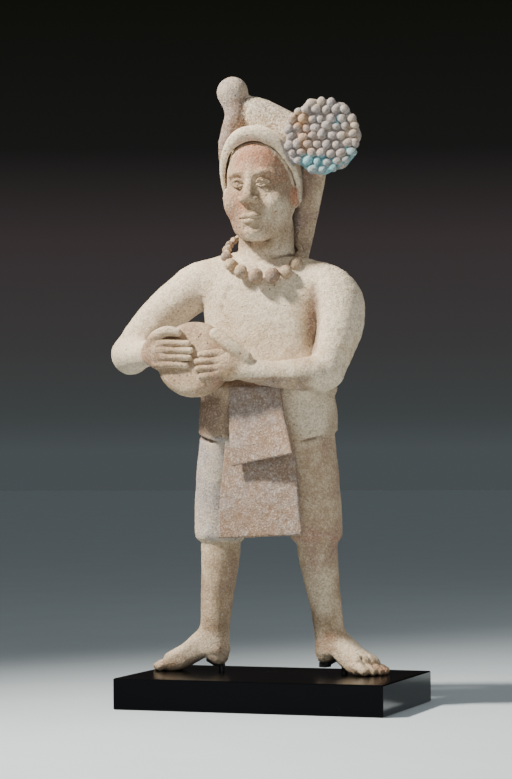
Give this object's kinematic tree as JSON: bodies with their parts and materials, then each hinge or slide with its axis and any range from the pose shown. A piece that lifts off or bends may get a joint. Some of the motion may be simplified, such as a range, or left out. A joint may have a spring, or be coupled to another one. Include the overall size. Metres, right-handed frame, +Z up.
{
  "type": "terracotta statuette of a standing drummer",
  "caption": "Standing clay figure with a hand drum, bead necklace, apron and tall headdress, held by steel heel mounts on a black display plinth.",
  "frame": {"origin": "middle of the plinth's underside", "axes": "+Z up; the figure and the plinth's long front edge face -Y; +X is the figure's left"},
  "size_m": [0.1545, 0.0794, 0.306],
  "materials": {
    "terracotta": "matt weathered clay with remains of white slip, orange and blue pigment",
    "plinth_black": "polished black, lightly dusty",
    "mount_steel": "matt black paint"
  },
  "bodies": {
    "root": {"terracotta_figure": "terracotta", "plinth": "plinth_black", "mount_right_heel": "mount_steel", "mount_left_heel": "mount_steel"}
  },
  "joints": []
}
